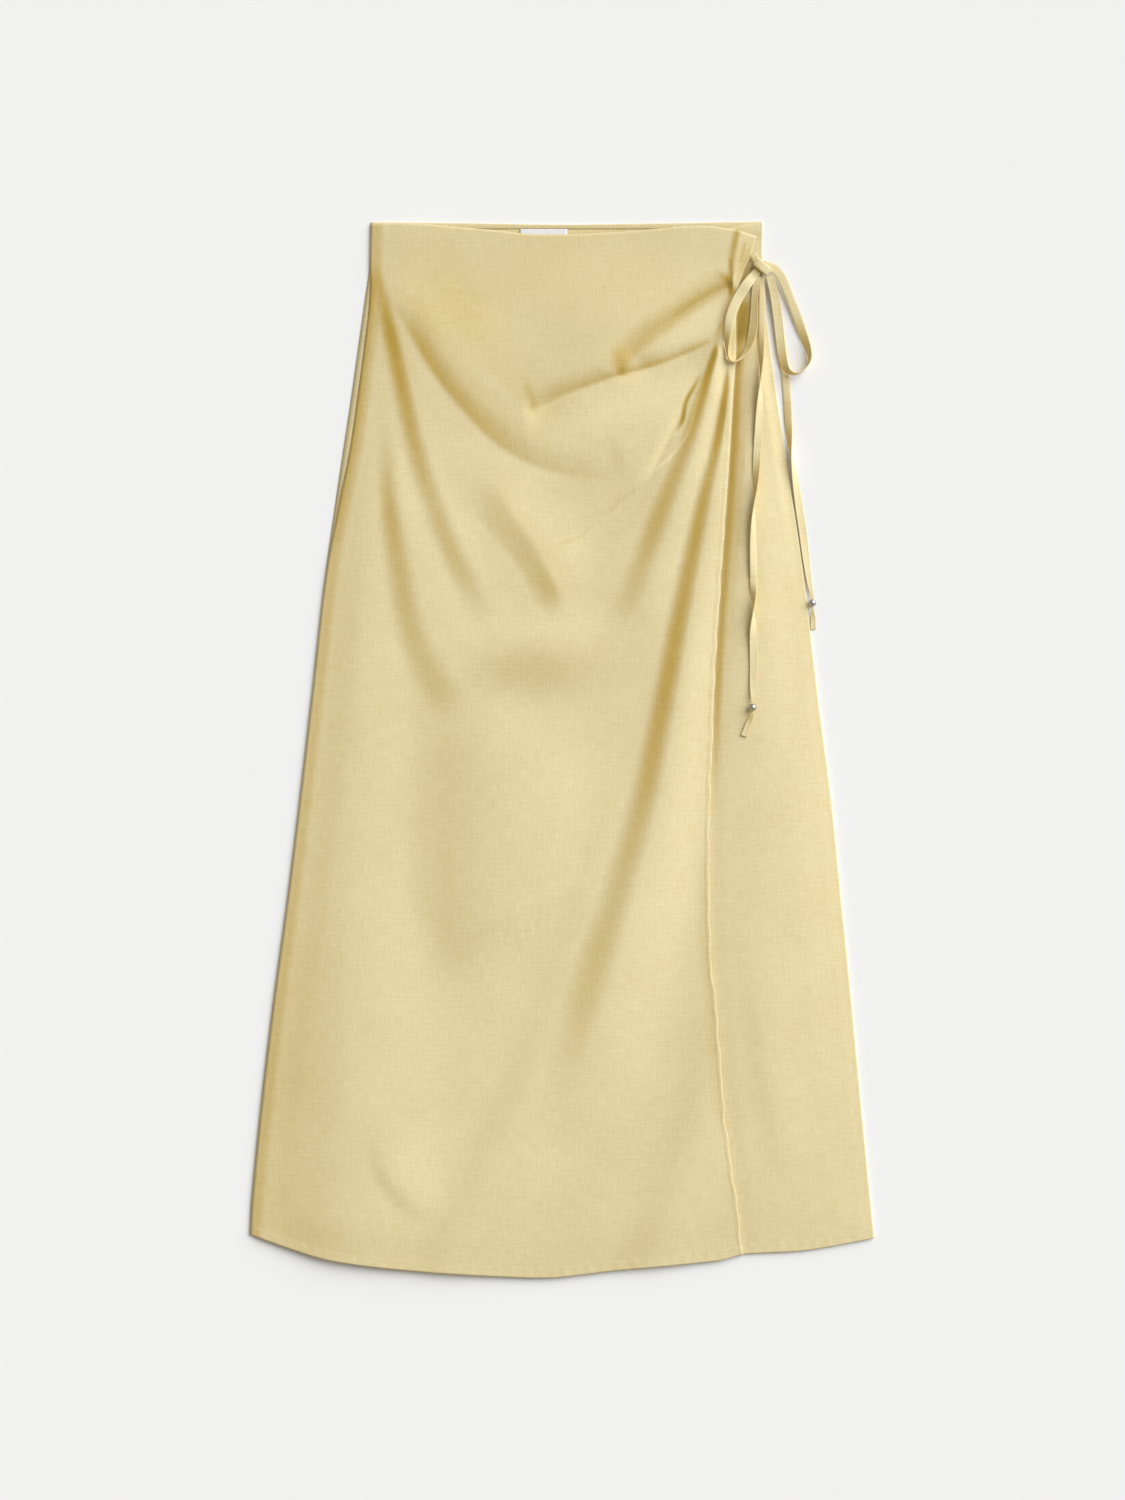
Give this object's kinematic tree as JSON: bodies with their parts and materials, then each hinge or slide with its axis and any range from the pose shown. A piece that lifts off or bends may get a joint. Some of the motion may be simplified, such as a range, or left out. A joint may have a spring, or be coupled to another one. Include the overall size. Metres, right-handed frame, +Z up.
{
  "type": "wrap skirt",
  "caption": "Long linen wrap skirt laid flat, its front gathered at one hip into pleats and drapes and tied there in a narrow bow with beaded ends.",
  "frame": {"origin": "on the surface that the skirt lies on, under the middle of its laid-out length and width", "axes": "+Y from the hem to the waist, +X to the side with the bow, +Z up, away from the surface"},
  "size_m": [0.5616, 0.95, 0.0219],
  "materials": {
    "linen": "plain woven, matt with a soft sheen",
    "linen_tie": "plain woven, sewn double",
    "label_cloth": "smooth woven tape, bare",
    "bead_metal": "polished, silver coloured"
  },
  "bodies": {
    "root": {"back_panel": "linen", "waist_facing": "linen", "label": "label_cloth", "under_front": "linen", "wrap_front": "linen", "tie_strap": "linen_tie", "bow_knot": "linen_tie", "bow_loop_left": "linen_tie", "bow_loop_right": "linen_tie", "tie_tail_left": "linen_tie", "tie_tail_right": "linen_tie", "bead_left": "bead_metal", "bead_right": "bead_metal"}
  },
  "joints": []
}
